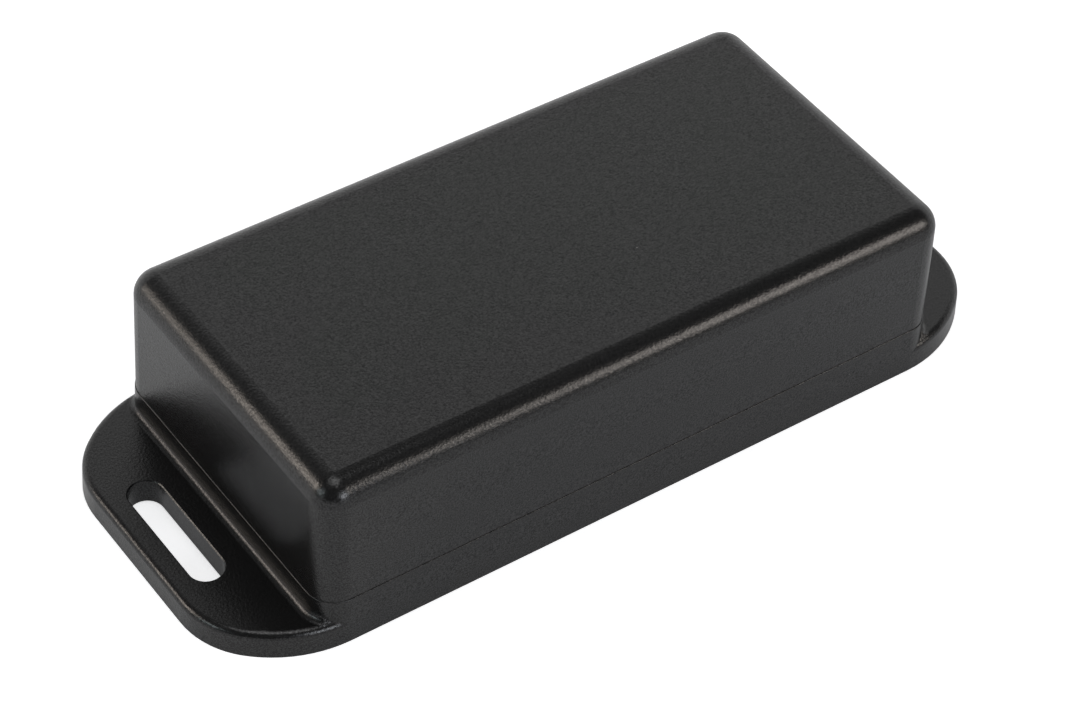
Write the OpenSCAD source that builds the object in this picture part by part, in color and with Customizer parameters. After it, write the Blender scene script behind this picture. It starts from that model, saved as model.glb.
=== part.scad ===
// Flanged project box: a deep cover over a shallow base with two slotted mounting flanges.
// +X runs along the box, -Y is the front long side, z = 0 is the underside.

/* [Body] */
// Length of the box at the parting line, without the flanges
body_l = 100; // [80:1:180]
// Width of the box at the parting line
body_w = 50; // [44:1:100]
// Height of the closed box
body_h = 27.5; // [22:0.5:60]
// Radius of the four upright corners at the parting line
corner_r = 4.2; // [3.6:0.1:6]
// Radius of the cover's top edges
top_round = 3.6; // [2.6:0.1:3.6]
// Taper of the cover's sides, in degrees
cover_draft = 1.1; // [0.5:0.1:1.5]
// Taper of the base's sides, in degrees
base_draft = 1.9; // [0.5:0.1:3]

/* [Walls] */
// Thickness of the side walls
wall = 2; // [1.6:0.1:2.4]
// Thickness of the cover's top
top_t = 2.2; // [1.6:0.1:3]
// Thickness of the base's floor
floor_t = 2.4; // [1.8:0.1:3]
// Radius between the base's floor and its walls, inside
floor_round = 0.8; // [0.4:0.1:1.2]
// Taper of the base's inner sides, in degrees
tray_draft = 1; // [0.5:0.1:2]

/* [Parting line] */
// Height of the parting line above the underside
parting_z = 7.6; // [6.8:0.1:12]
// How far the base's rim stands proud of the cover, all round
rim_step = 0.1; // [0:0.05:0.2]
// Rounding of the base's outer rim
rim_round = 0.15; // [0.1:0.05:0.3]
// Bevel on the cover's lower outer edge
skirt_bevel = 0.06; // [0.04:0.02:0.24]
// Height of the tongue that stands up inside the cover
tongue_h = 1.5; // [1:0.1:2.5]
// Thickness of the tongue
tongue_t = 0.9; // [0.6:0.05:1]
// Clearance between the tongue and the cover's rebate
tongue_gap = 0.1; // [0.05:0.05:0.2]
// Clearance left above the tongue and between the screw bosses
clamp_gap = 0.2; // [0.1:0.05:0.4]

/* [Flanges] */
// How far each flange stands out beyond the box
flange_reach = 12.7; // [11:0.1:20]
// Thickness of the flanges
flange_t = 4; // [2.5:0.1:5]
// Radius of the flange corners, next to the straight end
flange_tip_r = 12.6; // [10:0.1:13.6]
// Distance from the long side to where the flange's end runs straight
flange_shoulder = 14.3; // [14.2:0.1:16]
// Rounding of the flanges' upper edges
flange_round = 1; // [0.4:0.1:1.2]
// Fillet between a flange and the wall above it
flange_fillet = 1.1; // [0.5:0.1:1.5]

/* [Mounting slots] */
// Length of each slot, end to end
slot_l = 20; // [10:0.5:24]
// Width of each slot
slot_w = 4.9; // [3.2:0.1:5.5]
// Distance from the end of the box to the slot's centre line
slot_offset = 6.8; // [6:0.1:9]
// Bevel on the slot's edges
slot_bevel = 0.15; // [0.05:0.05:0.3]

/* [Cover screws] */
// Distance of each screw from the two outer faces at its corner
screw_inset = 5.2; // [5:0.1:6.5]
// Length of the screws below the head
screw_l = 12.7; // [10:0.1:14]
// Radius of the screws' shank, at the root of the thread
screw_r = 1.2; // [1:0.05:1.4]
// Radius of the screws' heads
head_r = 2.75; // [2.4:0.05:2.9]
// Height of the screws' heads
head_h = 1.9; // [1.4:0.1:2.2]
// Radius of the domed face of the heads
dome_r = 4.5; // [3.5:0.1:8]
// Length of the cross recess in the heads
cross_l = 3; // [2:0.1:3.6]
// Width of the cross recess
cross_w = 0.7; // [0.4:0.05:1]
// Depth of the cross recess
cross_depth = 1.05; // [0.6:0.05:1.2]
// Depth of the screws' seats above the underside
seat_depth = 3; // [2.4:0.1:3.6]
// Clearance round a screw's head
head_gap = 0.35; // [0.2:0.05:0.5]
// Clearance round a screw's shank in the base
shank_gap = 0.4; // [0.2:0.05:0.5]
// Clearance round a screw's shank in the cover's boss
pilot_gap = 0.05; // [0.02:0.01:0.1]
// Depth of a boss's hole past the screw's tip
pilot_spare = 1.2; // [0.5:0.1:2]
// Radius of the cover's screw bosses
cover_boss_r = 3.4; // [3:0.1:3.8]
// Wall round a screw's head in the base's bosses
base_boss_wall = 1.1; // [0.9:0.1:1.3]

/* [Circuit board posts] */
// Distance of the posts from the ends of the box
post_inset_x = 17; // [15:1:30]
// Distance of the posts from the long sides
post_inset_y = 8; // [6:1:14]
// Height of the posts above the floor
post_h = 4; // [2:0.5:8]
// Radius of the posts
post_r = 2.75; // [2.2:0.05:3]
// Radius of the posts' pilot holes
post_hole_r = 1.15; // [0.9:0.05:1.3]
// Floor left under the posts' pilot holes
post_hole_floor = 1.4; // [1:0.1:1.8]

/* [Hidden] */
$fn = 64;
small_fn = 24;              // facets of the small roundings
black = [0.09, 0.09, 0.095];
steel = [0.62, 0.63, 0.65];
over = 1;                   // how far a cutter runs past the face that it opens
root = 0.6;                 // how deep an added form is rooted in what carries it
bite = 1.0005;              // a fillet's circle is this much larger, so that it cuts both its faces
least_arc = 0.1;            // least distance from a corner's axis to the centre of its fillet
merge = 0.005;              // how far inside the long sides the flanges' wide arcs begin

cover_lean = tan(cover_draft);
base_lean = tan(base_draft);
axis_x = body_l / 2 - corner_r;     // upright axes of the four corners
axis_y = body_w / 2 - corner_r;
foot_grow = parting_z * base_lean;  // how much wider the underside is than the rim, on each side
foot_r = corner_r + foot_grow;
cover_r = corner_r - rim_step;
cavity_r = cover_r - wall;
tongue_r = cavity_r + tongue_t;
rebate_r = tongue_r + tongue_gap;
tongue_top = parting_z + tongue_h;
boss_foot = tongue_top + clamp_gap; // where the cover's bosses end
cavity_top = body_h - top_t;
cavity_round = max(least_arc, top_round - wall);

// Flange outline at the underside: a straight end, a tight arc, then a wide arc into the long side
flange_end_x = body_l / 2 + flange_reach;
half_foot_w = body_w / 2 + foot_grow;
tip_x = flange_end_x - flange_tip_r;
tip_y = half_foot_w - flange_shoulder;
tip_run = tip_x - axis_x;
flank_rise = flange_shoulder - merge;
flank_r = (tip_run^2 + flank_rise^2 - flange_tip_r^2) / (2 * (flank_rise - flange_tip_r));
flank_y = half_foot_w - merge - flank_r;
flank_turn = atan2(tip_y - flank_y, tip_run);   // where the tight arc meets the wide one
merge_turn = 10;                                // how far the tight arc runs on inside the wide one

slot_x = body_l / 2 + slot_offset;
screw_x = body_l / 2 - screw_inset;
screw_y = body_w / 2 - screw_inset;
tip_z = seat_depth + screw_l;
post_x = body_l / 2 - post_inset_x;
post_y = body_w / 2 - post_inset_y;
post_top = floor_t + post_h;

// Distance from a fillet's centre to a leaning side, level with the centre, for each unit of radius
function lean_stretch(lean) = sqrt(1 + lean^2);

// Distance from the axis to the centre of a side's upper fillet
function fillet_x(r, h, lean, round) = r - lean * (h - round) - round * lean_stretch(lean);

// The asked fillet, or the largest whose centre stays outside the axis
function fitting_round(r, h, lean, round) =
    min(round, (r - lean * h - least_arc) / (lean_stretch(lean) - lean));

// ---- Sections, drawn outwards from an upright axis ----

// Half section of a moulded block: a leaning side with a rounded upper edge and a bevelled lower one
module edge_section(r, h, lean, round, bevel = 0, fn = $fn) {
    f = fitting_round(r, h, lean, round);
    difference() {
        polygon([
            [0, 0], [r - bevel, 0], [r - lean * bevel, bevel], [r - lean * h, h], [0, h]
        ]);
        translate([fillet_x(r, h, lean, f), h - f]) difference() {
            square(2 * f);
            circle(r = f * lean_stretch(lean) * bite, $fn = fn);
        }
    }
}

// Half section of the concave fillet between the base's wall and a flange
module fillet_section() {
    f = flange_fillet;
    z = flange_t + f;
    x = foot_r - base_lean * z + f * lean_stretch(base_lean);
    difference() {
        translate([foot_r / 2, flange_t - root]) square([x - foot_r / 2, f + root]);
        translate([x, z]) circle(r = f * lean_stretch(base_lean) * bite, $fn = 2 * small_fn);
    }
}

// Half section that the fillet stays within: it carries the flange's rounded edge on at 45 degrees
module limit_section(r) {
    sink = flange_round * cos(15) * sin(45);
    x = fillet_x(r, flange_t, base_lean, flange_round) + sink;
    z = flange_t - flange_round + sink;
    h = flange_t + 2 * flange_fillet - z;
    polygon([[0, z], [x, z], [x - h, z + h], [0, z + h]]);
}

// ---- Bodies made from those sections ----

// Block with rounded uprights about the box's corner axes, narrower towards its top
module moulded_block(r, h, lean, round, bevel = 0, fn = $fn) {
    translate([-axis_x, -axis_y, 0]) cube([2 * axis_x, 2 * axis_y, h]);
    for (side = [0, 1]) {
        mirror([0, side, 0]) translate([-axis_x, axis_y, 0]) rotate([90, 0, 90])
            linear_extrude(2 * axis_x) edge_section(r, h, lean, round, bevel, fn);
        mirror([side, 0, 0]) translate([axis_x, axis_y, 0]) rotate([90, 0, 0])
            linear_extrude(2 * axis_y) edge_section(r, h, lean, round, bevel, fn);
        for (end = [0, 1]) mirror([0, side, 0]) mirror([end, 0, 0])
            translate([axis_x, axis_y, 0])
                rotate_extrude(angle = 90) edge_section(r, h, lean, round, bevel, fn);
    }
}

// Block with upright sides and square edges
module plain_block(r, h) {
    linear_extrude(h) {
        square([2 * axis_x, 2 * (axis_y + r)], center = true);
        square([2 * (axis_x + r), 2 * axis_y], center = true);
        for (x = [-axis_x, axis_x], y = [-axis_y, axis_y]) translate([x, y]) circle(r = r);
    }
}

// Section of a flange's edge, or of the space that its fillet may fill
module flange_section(r, limit) {
    if (limit) limit_section(r);
    else edge_section(r, flange_t, base_lean, flange_round, 0, 2 * small_fn);
}

// A point of the flange's outline, moved inwards by half the tight arc's radius
function inner_tip(turn) = [tip_x, tip_y] + flange_tip_r / 2 * [cos(turn), sin(turn)];

// The flange at the +X end, swept along its outline
module flange(limit = false) {
    web_z = limit ? flange_t - root : 0;
    web_h = limit ? root + 2 * flange_fillet : flange_t;
    side_y = half_foot_w - flange_tip_r / 2;
    half_web = [[axis_x - root, side_y], [axis_x, side_y], inner_tip(flank_turn), inner_tip(0)];
    for (side = [0, 1]) mirror([0, side, 0]) {
        translate([0, 0, web_z]) linear_extrude(web_h)
            polygon(concat([[axis_x - root, -root]], half_web, [[inner_tip(0).x, -root]]));
        translate([tip_x, tip_y, 0])
            rotate_extrude(angle = flank_turn + merge_turn)
                flange_section(flange_tip_r * bite, limit);
        translate([axis_x, flank_y, 0])
            rotate_extrude(start = flank_turn, angle = 90 - flank_turn)
                flange_section(flank_r, limit);
    }
    translate([tip_x, tip_y, 0]) rotate([90, 0, 0])
        linear_extrude(2 * tip_y) flange_section(flange_tip_r * bite, limit);
}

// The fillet round the +X end of the box, ending where the flange runs out
module flange_root() {
    intersection() {
        union() {
            translate([axis_x, axis_y, 0]) rotate([90, 0, 0])
                linear_extrude(2 * axis_y) fillet_section();
            for (side = [0, 1]) mirror([0, side, 0]) translate([axis_x, axis_y, 0])
                rotate_extrude(angle = 90) fillet_section();
        }
        flange(limit = true);
    }
}

// Mounting slot along Y, bevelled where it comes out above and below
module mounting_slot() {
    r = slot_w / 2;
    reach = slot_l / 2 - r;
    translate([-r, -reach, -over]) cube([slot_w, 2 * reach, flange_t + 2 * over]);
    for (y = [-reach, reach]) translate([0, y, -over]) cylinder(r = r, h = flange_t + 2 * over);
    for (upper = [0, 1]) translate([0, 0, upper * flange_t]) mirror([0, 0, upper]) {
        for (y = [-reach, reach]) translate([0, y, -slot_bevel])
            cylinder(r1 = r + 2 * slot_bevel, r2 = r, h = 2 * slot_bevel);
        rotate([90, 0, 0]) linear_extrude(2 * reach, center = true) polygon([
            [-r - 2 * slot_bevel, -slot_bevel], [r + 2 * slot_bevel, -slot_bevel],
            [r, slot_bevel], [-r, slot_bevel]
        ]);
    }
}

// A child at each of the four cover screws
module at_screws() {
    for (x = [-screw_x, screw_x], y = [-screw_y, screw_y]) translate([x, y, 0]) children();
}

// A child at each of the four circuit board posts
module at_posts() {
    for (x = [-post_x, post_x], y = [-post_y, post_y]) translate([x, y, 0]) children();
}

// ---- Sub-parts ----

// Base: shallow tray, tongue, both flanges, screw bosses and board posts, moulded in one
module base() {
    head_hole_r = head_r + head_gap;
    color(black) difference() {
        union() {
            moulded_block(foot_r, parting_z, base_lean, rim_round, 0, small_fn);
            translate([0, 0, parting_z - root]) plain_block(tongue_r, root + tongue_h);
            for (end = [0, 1]) mirror([end, 0, 0]) {
                flange();
                flange_root();
            }
        }
        difference() {
            translate([0, 0, tongue_top]) mirror([0, 0, 1])
                moulded_block(cavity_r, tongue_top - floor_t, tan(tray_draft), floor_round, 0, small_fn);
            at_screws() cylinder(r = head_hole_r + base_boss_wall, h = tongue_top + over);
            at_posts() cylinder(r = post_r, h = post_top);
        }
        at_screws() {
            translate([0, 0, -over]) cylinder(r = head_hole_r, h = seat_depth + over);
            cylinder(r = screw_r + shank_gap, h = tongue_top + over);
        }
        at_posts() translate([0, 0, post_hole_floor]) cylinder(r = post_hole_r, h = post_top);
        for (x = [-slot_x, slot_x]) translate([x, 0, 0]) mounting_slot();
    }
}

// Cover: deep lid with rounded top edges, a rebate for the tongue and four screw bosses
module cover() {
    color(black) translate([0, 0, parting_z]) difference() {
        moulded_block(cover_r, body_h - parting_z, cover_lean, top_round, skirt_bevel);
        difference() {
            moulded_block(cavity_r, cavity_top - parting_z, cover_lean, cavity_round);
            at_screws() translate([0, 0, boss_foot - parting_z])
                cylinder(r = cover_boss_r, h = body_h);
        }
        translate([0, 0, -over]) plain_block(rebate_r, over + tongue_h + clamp_gap);
        at_screws() cylinder(r = screw_r + pilot_gap, h = tip_z + pilot_spare - parting_z);
    }
}

// Pan-head screw, its head recessed in the underside of the base
module cover_screw(x_side, y_side) {
    color(steel) translate([x_side * screw_x, y_side * screw_y, seat_depth]) {
        difference() {
            translate([0, 0, -head_h]) intersection() {
                cylinder(r = head_r, h = head_h);
                translate([0, 0, dome_r]) sphere(r = dome_r);
            }
            for (turn = [45, 135]) rotate(turn)
                translate([-cross_l / 2, -cross_w / 2, -head_h - over])
                    cube([cross_l, cross_w, over + cross_depth]);
        }
        cylinder(r = screw_r, h = screw_l - screw_r);
        translate([0, 0, screw_l - screw_r]) cylinder(r1 = screw_r, r2 = screw_r / 2, h = screw_r);
    }
}

cover();
base();
cover_screw(-1, -1);  // screw_front_left
cover_screw(1, -1);  // screw_front_right
cover_screw(-1, 1);  // screw_rear_left
cover_screw(1, 1);  // screw_rear_right
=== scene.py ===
"""Flanged plastic project box: satin black mouldings in a plain studio."""

import math

import bpy
from bpy.props import FloatProperty, FloatVectorProperty, PointerProperty
from mathutils import Matrix, Vector


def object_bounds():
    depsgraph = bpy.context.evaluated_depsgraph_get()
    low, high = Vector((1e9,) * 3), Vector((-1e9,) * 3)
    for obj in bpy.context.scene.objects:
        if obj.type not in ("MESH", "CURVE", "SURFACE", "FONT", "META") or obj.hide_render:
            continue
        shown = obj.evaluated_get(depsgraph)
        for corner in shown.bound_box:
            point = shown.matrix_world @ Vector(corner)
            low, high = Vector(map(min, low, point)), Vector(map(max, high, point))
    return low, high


bl_info = {
    "name": "Flanged Project Box",
    "version": (1, 0, 0),
    "blender": (4, 5, 0),
    "location": "3D View > Sidebar > Project Box",
    "description": "Finishes a flanged plastic project box and lights it in a plain studio",
    "category": "Object",
}

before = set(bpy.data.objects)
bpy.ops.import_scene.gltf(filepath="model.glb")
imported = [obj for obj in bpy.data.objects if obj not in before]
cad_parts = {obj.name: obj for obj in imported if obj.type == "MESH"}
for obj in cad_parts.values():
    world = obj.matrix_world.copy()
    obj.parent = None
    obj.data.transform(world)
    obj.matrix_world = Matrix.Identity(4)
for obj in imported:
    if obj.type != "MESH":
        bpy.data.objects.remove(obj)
CAD_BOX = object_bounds()
CENTRE = (CAD_BOX[0] + CAD_BOX[1]) / 2
MM = 0.001

PLASTIC_IOR = 1.5
PLAIN_GLOSS = 0.5                   # specular level at which the gloss is what the IOR alone gives
NOISE_LOW, NOISE_HIGH = 0.3, 0.7    # most of a noise texture lies between these
FLOOR_GAP = 0.02 * MM               # keeps the floor clear of the underside
FAR_SIDE = (-0.25, 0.97, 0)         # direction along the floor in which its reflection brightens
BACKDROP_EDGE = 0.08                # softness of the backdrop's upper edge, as a share of its height
LEAST_AHEAD = 0.001                 # keeps rays that run along the backdrop out of a division by zero
NEAR_LIMIT = 10 * MM                # nearest distance that the camera sees

# The studio's lamps: azimuth and elevation in degrees, width and height as angles seen from the box,
# brightness where a lit white card is 1, and tint. Azimuth 0 is in front of the long side, 90 to its right.
LAMPS = {
    "overhead_softbox": (-40, 83, 30, 30, 2.3, (1.00, 1.00, 1.00)),
    "right_softbox": (1, 19, 18, 20, 6.7, (0.97, 1.00, 1.06)),
    "right_warm_softbox": (37, 25, 20, 20, 5.7, (1.08, 1.00, 0.93)),
    "left_softbox": (-90, 21, 18, 16, 3.9, (0.88, 1.00, 1.02)),
    "left_warm_softbox": (-120, 22, 20, 22, 5.1, (1.12, 1.00, 0.89)),
}


def direction(azimuth, elevation):
    """Unit vector from the box towards a place in the studio, from angles in radians."""
    level = math.cos(elevation)
    return Vector((math.sin(azimuth) * level, -math.cos(azimuth) * level, math.sin(elevation)))


# ---- Settings ----

class MouldingSettings(bpy.types.PropertyGroup):
    """Finish of the cover and the base."""

    colour: FloatVectorProperty(
        name="Colour", description="Colour of the plastic under its gloss",
        subtype="COLOR", size=3, min=0, max=1, default=(0.0030, 0.0030, 0.0032))
    roughness: FloatProperty(
        name="Roughness", description="Roughness of the moulded skin between its grains",
        subtype="FACTOR", min=0, max=1, default=0.27)
    grain_pitch: FloatProperty(
        name="Grain pitch", description="Distance between the grains of the spark-eroded texture",
        unit="LENGTH", min=0.05 * MM, max=2 * MM, default=0.36 * MM)
    grain_height: FloatProperty(
        name="Grain height", description="Height of those grains",
        unit="LENGTH", min=0, max=0.2 * MM, default=0.035 * MM)
    pit_pitch: FloatProperty(
        name="Pit pitch", description="Distance between the fine pits that dull the gloss",
        unit="LENGTH", min=0.05 * MM, max=2 * MM, default=0.20 * MM)
    pit_dulling: FloatProperty(
        name="Pit dulling", description="How far the gloss falls in the pits and rises between them",
        subtype="FACTOR", min=0, max=1, default=0.45)
    wave_pitch: FloatProperty(
        name="Wave pitch", description="Distance between the broad waves that cooling leaves in the skin",
        unit="LENGTH", min=2 * MM, max=50 * MM, default=11 * MM)
    wave_height: FloatProperty(
        name="Wave height", description="Height of those waves",
        unit="LENGTH", min=0, max=1 * MM, default=0.03 * MM)
    dust_pitch: FloatProperty(
        name="Dust pitch", description="Distance between the specks of dust",
        unit="LENGTH", min=1 * MM, max=50 * MM, default=3.2 * MM)
    dust_share: FloatProperty(
        name="Dust share", description="Share of the places on that pitch that hold a speck",
        subtype="FACTOR", min=0, max=1, default=0.10)
    speck_radius: FloatProperty(
        name="Speck radius", description="Radius of the largest specks",
        unit="LENGTH", min=0.02 * MM, max=1 * MM, default=0.13 * MM)
    dust_colour: FloatVectorProperty(
        name="Dust colour", description="Colour of the specks of dust",
        subtype="COLOR", size=3, min=0, max=1, default=(0.09, 0.09, 0.085))


class StudioSettings(bpy.types.PropertyGroup):
    """Floor, lamps and surroundings."""

    floor_colour: FloatVectorProperty(
        name="Floor colour", description="Colour of the pale floor",
        subtype="COLOR", size=3, min=0, max=1, default=(0.86, 0.87, 0.89))
    floor_size: FloatProperty(
        name="Floor size", description="Side of the square floor",
        unit="LENGTH", min=1, max=20, default=8)
    floor_lift: FloatProperty(
        name="Floor lift", description="Brightness added where the floor is seen, where 1 is white",
        min=0, max=1, default=0.62)
    near_glow: FloatProperty(
        name="Near glow", description="Brightness added to reflections of the floor in front of the box",
        min=0, max=1, default=0.10)
    far_glow: FloatProperty(
        name="Far glow", description="Brightness added to reflections of the floor behind the box",
        min=0, max=1, default=0.45)
    glow_reach: FloatProperty(
        name="Glow reach", description="Distance behind the box at which the far glow is full",
        unit="LENGTH", min=0.01, max=2, default=0.15)
    lamp_distance: FloatProperty(
        name="Lamp distance", description="Distance of the lamps from the box",
        unit="LENGTH", min=0.3, max=5, default=1.2)
    lamp_level: FloatProperty(
        name="Lamp level", description="Brightness of all the lamps together",
        min=0, max=4, default=1)
    room_level: FloatProperty(
        name="Room level", description="Brightness of the room round the lamps",
        min=0, max=1, default=0.15)
    backdrop_azimuth: FloatProperty(
        name="Backdrop azimuth", description="Side of the box on which the pale backdrop stands",
        subtype="ANGLE", default=math.radians(150))
    backdrop_height: FloatProperty(
        name="Backdrop height", description="Height of the backdrop as a multiple of its distance",
        min=0, max=5, default=1.4)
    backdrop_foot: FloatProperty(
        name="Backdrop foot", description="Brightness of the backdrop near the floor",
        min=0, max=2, default=1.35)
    backdrop_head: FloatProperty(
        name="Backdrop head", description="Brightness of the backdrop's upper half",
        min=0, max=2, default=1.0)


class CameraSettings(bpy.types.PropertyGroup):
    """Where the camera stands and what it aims at."""

    azimuth: FloatProperty(
        name="Azimuth", description="Direction of the camera, from the front long side",
        subtype="ANGLE", default=math.radians(-37.531))
    elevation: FloatProperty(
        name="Elevation", description="Height of the camera above the floor, as an angle",
        subtype="ANGLE", default=math.radians(44.345))
    roll: FloatProperty(
        name="Roll", description="Turn of the camera about its own axis",
        subtype="ANGLE", default=math.radians(3.697))
    distance: FloatProperty(
        name="Distance", description="Distance of the camera from its aim",
        unit="LENGTH", min=0.05, max=5, default=464.99 * MM)
    lens: FloatProperty(
        name="Lens", description="Focal length of the lens",
        unit="CAMERA", min=10, max=300, default=115.02)
    aim: FloatVectorProperty(
        name="Aim", description="Point that the camera aims at, from the middle of the box",
        subtype="TRANSLATION", size=3, default=(-2.10 * MM, -3.80 * MM, -4.39 * MM))


# ---- Materials ----

def new_material(name):
    """An empty material, with its nodes, its links and its output."""
    material = bpy.data.materials.new(name)
    material.use_nodes = True
    nodes, links = material.node_tree.nodes, material.node_tree.links
    nodes.clear()
    output = nodes.new("ShaderNodeOutputMaterial")
    return material, nodes, links, output


def add(nodes, kind, values=None, **options):
    """A node of that kind, with its options set and its sockets' values given by name."""
    node = nodes.new(kind)
    for option, value in options.items():
        setattr(node, option, value)
    for socket, value in (values or {}).items():
        node.inputs[socket].default_value = value
    return node


def noise(nodes, links, place, pitch, detail=2.0):
    """Noise with bumps about a pitch apart."""
    node = add(nodes, "ShaderNodeTexNoise", {"Scale": 1 / pitch, "Detail": detail})
    links.new(place, node.inputs["Vector"])
    return node.outputs["Fac"]


def remap(nodes, links, value, low, high, at_low, at_high):
    """A value that goes from at_low to at_high while the given one goes from low to high."""
    node = add(nodes, "ShaderNodeMapRange", {
        "From Min": low, "From Max": high, "To Min": at_low, "To Max": at_high})
    links.new(value, node.inputs["Value"])
    return node.outputs["Result"]


def calculate(nodes, links, operation, first, second):
    """The result of a sum on two sockets or numbers."""
    node = add(nodes, "ShaderNodeMath", operation=operation)
    for term, socket in zip((first, second), node.inputs):
        if isinstance(term, (int, float)):
            socket.default_value = term
        else:
            links.new(term, socket)
    return node.outputs[0]


def bump(nodes, links, height, distance, normal=None):
    """A bump of that height over the whole range of its texture."""
    node = add(nodes, "ShaderNodeBump", {"Strength": 1, "Distance": distance})
    links.new(height, node.inputs["Height"])
    if normal is not None:
        links.new(normal, node.inputs["Normal"])
    return node.outputs["Normal"]


def specks(nodes, links, place, pitch, share, radius):
    """1 on scattered specks of up to that radius and 0 between them."""
    cells = add(nodes, "ShaderNodeTexVoronoi", {"Scale": 1 / pitch, "Randomness": 1.0})
    links.new(place, cells.inputs["Vector"])
    chance = add(nodes, "ShaderNodeSeparateColor")
    links.new(cells.outputs["Color"], chance.inputs[0])
    # The cell's own random number says whether it holds a speck, and how large it is
    size = remap(nodes, links, chance.outputs[0], 1 - share, 1, 0, radius / pitch)
    return calculate(nodes, links, "LESS_THAN", cells.outputs["Distance"], size)


def moulded_plastic(settings):
    """Satin black plastic with a spark-eroded grain, fine pits and a little dust."""
    material, nodes, links, output = new_material("satin_black_plastic")
    shader = add(nodes, "ShaderNodeBsdfPrincipled", {
        "Roughness": settings.roughness, "IOR": PLASTIC_IOR})
    links.new(shader.outputs["BSDF"], output.inputs["Surface"])
    place = add(nodes, "ShaderNodeTexCoord").outputs["Object"]
    waves = bump(nodes, links, noise(nodes, links, place, settings.wave_pitch, 1), settings.wave_height)
    grain = noise(nodes, links, place, settings.grain_pitch)
    links.new(bump(nodes, links, grain, settings.grain_height, waves), shader.inputs["Normal"])
    pits = noise(nodes, links, place, settings.pit_pitch, 1)
    gloss = remap(nodes, links, pits, NOISE_LOW, NOISE_HIGH,
                  PLAIN_GLOSS * (1 - settings.pit_dulling), PLAIN_GLOSS * (1 + settings.pit_dulling))
    links.new(gloss, shader.inputs["Specular IOR Level"])
    dust = specks(nodes, links, place, settings.dust_pitch, settings.dust_share, settings.speck_radius)
    dusty = add(nodes, "ShaderNodeMix", data_type="RGBA")
    dusty.inputs["A"].default_value = (*settings.colour, 1)
    dusty.inputs["B"].default_value = (*settings.dust_colour, 1)
    links.new(dust, dusty.inputs["Factor"])
    links.new(dusty.outputs["Result"], shader.inputs["Base Color"])
    return material


# ---- Operators ----

class PROJECTBOX_OT_mouldings(bpy.types.Operator):
    """Give the cover and the base their moulded finish"""

    bl_idname = "projectbox.mouldings"
    bl_label = "Finish the mouldings"

    def execute(self, context):
        plastic = moulded_plastic(context.scene.box_mouldings)
        for name in ("cover", "base"):
            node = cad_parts[name]
            node.material_slots[0].material = plastic
        return {"FINISHED"}


def square(name, size):
    """A flat square mesh object, centred on its own origin and facing +Z."""
    mesh = bpy.data.meshes.new(name)
    half = size / 2
    mesh.from_pydata(
        [(-half, -half, 0), (half, -half, 0), (half, half, 0), (-half, half, 0)], [], [(0, 1, 2, 3)])
    piece = bpy.data.objects.new(name, mesh)
    bpy.context.scene.collection.objects.link(piece)
    return piece


def pale_floor(settings):
    """A pale floor that takes the box's shadow, is lifted to white where it is seen, and glows in
    reflections, more behind the box than in front: a painted reflection.
    """
    material, nodes, links, output = new_material("pale_floor")
    matt = add(nodes, "ShaderNodeBsdfDiffuse", {"Color": (*settings.floor_colour, 1)})
    glow = add(nodes, "ShaderNodeEmission")
    both = add(nodes, "ShaderNodeAddShader")
    path = add(nodes, "ShaderNodeLightPath")
    # Painted reflection: in glossy and transmission rays the floor glows, faintly in front of the box and
    # more brightly behind it
    behind = add(nodes, "ShaderNodeVectorMath", {1: FAR_SIDE}, operation="DOT_PRODUCT")
    links.new(add(nodes, "ShaderNodeTexCoord").outputs["Object"], behind.inputs[0])
    mirrored = calculate(
        nodes, links, "MAXIMUM", path.outputs["Is Glossy Ray"], path.outputs["Is Transmission Ray"])
    level = remap(nodes, links, behind.outputs["Value"], 0, settings.glow_reach,
                  settings.near_glow, settings.far_glow)
    reflected = calculate(nodes, links, "MULTIPLY", mirrored, level)
    seen = calculate(nodes, links, "MULTIPLY", path.outputs["Is Camera Ray"], settings.floor_lift)
    links.new(calculate(nodes, links, "MAXIMUM", seen, reflected), glow.inputs["Strength"])
    links.new(matt.outputs[0], both.inputs[0])
    links.new(glow.outputs[0], both.inputs[1])
    links.new(both.outputs[0], output.inputs["Surface"])
    return material


def studio_world(settings):
    """White where it is seen, and round the box a pale backdrop on one side of a dim room."""
    world = bpy.data.worlds.new("studio")
    world.use_nodes = True
    nodes, links = world.node_tree.nodes, world.node_tree.links
    nodes.clear()
    output = add(nodes, "ShaderNodeOutputWorld")
    background = add(nodes, "ShaderNodeBackground")
    links.new(background.outputs[0], output.inputs["Surface"])
    # Height at which a ray meets an upright backdrop, as a multiple of the backdrop's distance
    ray = add(nodes, "ShaderNodeTexCoord").outputs["Generated"]
    towards = add(nodes, "ShaderNodeVectorMath", {1: direction(settings.backdrop_azimuth, 0)},
                  operation="DOT_PRODUCT")
    links.new(ray, towards.inputs[0])
    ahead = calculate(nodes, links, "MAXIMUM", towards.outputs["Value"], LEAST_AHEAD)
    split = add(nodes, "ShaderNodeSeparateXYZ")
    links.new(ray, split.inputs[0])
    height = calculate(nodes, links, "DIVIDE", split.outputs["Z"], ahead)
    top = settings.backdrop_height
    pale = remap(nodes, links, height, 0, top / 2, settings.backdrop_foot, settings.backdrop_head)
    below = remap(nodes, links, height, (1 - BACKDROP_EDGE) * top, (1 + BACKDROP_EDGE) * top, 1, 0)
    backdrop = calculate(nodes, links, "MULTIPLY", pale, below)
    surroundings = calculate(nodes, links, "MAXIMUM", backdrop, settings.room_level)
    seen = add(nodes, "ShaderNodeLightPath").outputs["Is Camera Ray"]
    links.new(calculate(nodes, links, "MAXIMUM", surroundings, seen), background.inputs["Strength"])
    return world


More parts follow.
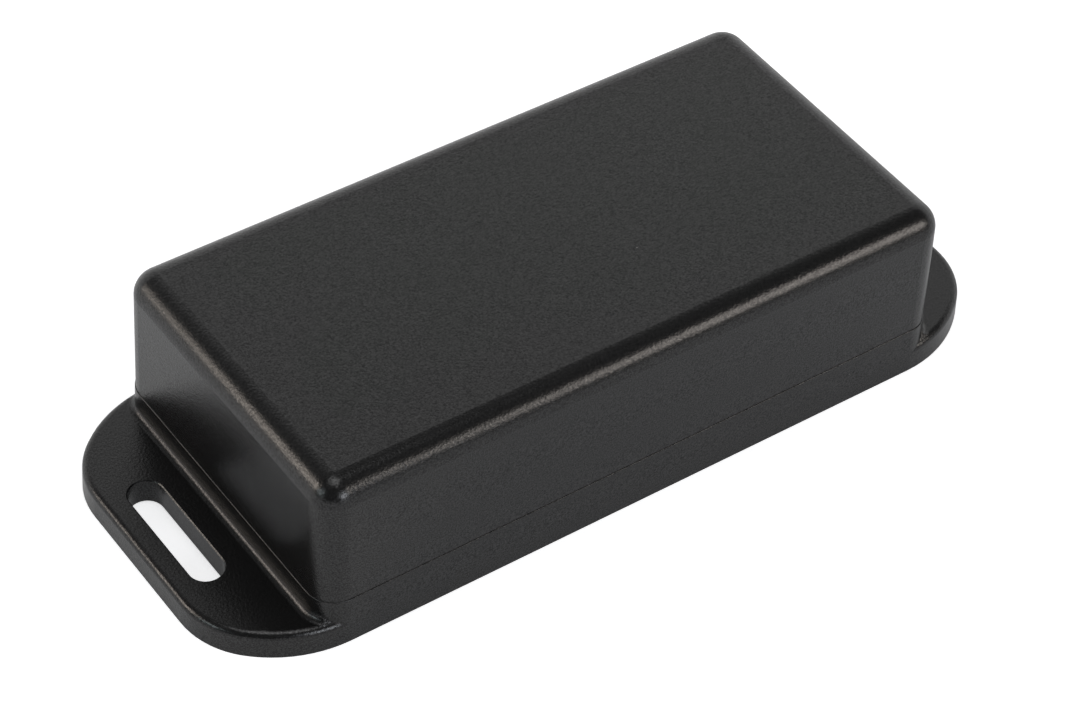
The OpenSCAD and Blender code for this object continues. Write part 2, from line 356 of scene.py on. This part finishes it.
def softbox(name, azimuth, elevation, width, height, level, tint, settings):
    """A softbox on a ball round the box, facing it."""
    distance = settings.lamp_distance
    lamp = bpy.data.lights.new(name, "AREA")
    lamp.shape = "RECTANGLE"
    lamp.size = 2 * distance * math.tan(math.radians(width) / 2)
    lamp.size_y = 2 * distance * math.tan(math.radians(height) / 2)
    lamp.energy = settings.lamp_level * level * math.pi * lamp.size * lamp.size_y
    lamp.color = tint
    piece = bpy.data.objects.new(name, lamp)
    towards = direction(math.radians(azimuth), math.radians(elevation))
    piece.location = CENTRE + distance * towards
    piece.rotation_euler = towards.to_track_quat("Z", "Y").to_euler()
    piece.visible_camera = False
    bpy.context.scene.collection.objects.link(piece)


def aim_camera(settings):
    """A camera at its azimuth and elevation, rolled about its own axis."""
    data = bpy.data.cameras.new("studio_camera")
    data.lens = settings.lens
    data.clip_start = NEAR_LIMIT
    camera = bpy.data.objects.new("studio_camera", data)
    back = direction(settings.azimuth, settings.elevation)
    turn = back.to_track_quat("Z", "Y").to_matrix() @ Matrix.Rotation(settings.roll, 3, "Z")
    camera.matrix_world = turn.to_4x4()
    camera.location = CENTRE + Vector(settings.aim) + settings.distance * back
    bpy.context.scene.collection.objects.link(camera)
    bpy.context.scene.camera = camera


class PROJECTBOX_OT_stage(bpy.types.Operator):
    """Set up the floor, the lamps, the surroundings and the camera"""

    bl_idname = "projectbox.stage"
    bl_label = "Set up the studio"

    def execute(self, context):
        settings = context.scene.box_studio
        floor = square("studio_floor", settings.floor_size)
        floor.location = (0, 0, CAD_BOX[0].z - FLOOR_GAP)
        floor.data.materials.append(pale_floor(settings))
        for name, lamp in LAMPS.items():
            softbox(name, *lamp, settings)
        context.scene.world = studio_world(settings)
        context.scene.view_settings.view_transform = "Standard"
        aim_camera(context.scene.box_camera)
        return {"FINISHED"}


class PROJECTBOX_PT_sidebar(bpy.types.Panel):
    """The box's settings and the steps that make it"""

    bl_label = "Project Box"
    bl_space_type = "VIEW_3D"
    bl_region_type = "UI"
    bl_category = "Project Box"

    def draw(self, context):
        for group in ("box_mouldings", "box_studio", "box_camera"):
            settings = getattr(context.scene, group)
            column = self.layout.column(align=True)
            for name in settings.__annotations__:
                column.prop(settings, name)
        for operator in OPERATORS:
            self.layout.operator(operator.bl_idname)


SETTINGS = {
    "box_mouldings": MouldingSettings,
    "box_studio": StudioSettings,
    "box_camera": CameraSettings,
}
OPERATORS = (PROJECTBOX_OT_mouldings, PROJECTBOX_OT_stage)


def register():
    for group in (*SETTINGS.values(), *OPERATORS, PROJECTBOX_PT_sidebar):
        bpy.utils.register_class(group)
    for name, group in SETTINGS.items():
        setattr(bpy.types.Scene, name, PointerProperty(type=group))


def unregister():
    for name in SETTINGS:
        delattr(bpy.types.Scene, name)
    for group in (PROJECTBOX_PT_sidebar, *OPERATORS[::-1], *list(SETTINGS.values())[::-1]):
        bpy.utils.unregister_class(group)


def main():
    """Register the add-on and run its operators in order."""
    register()
    bpy.ops.projectbox.mouldings()
    bpy.ops.projectbox.stage()


if __name__ == "__main__":
    main()
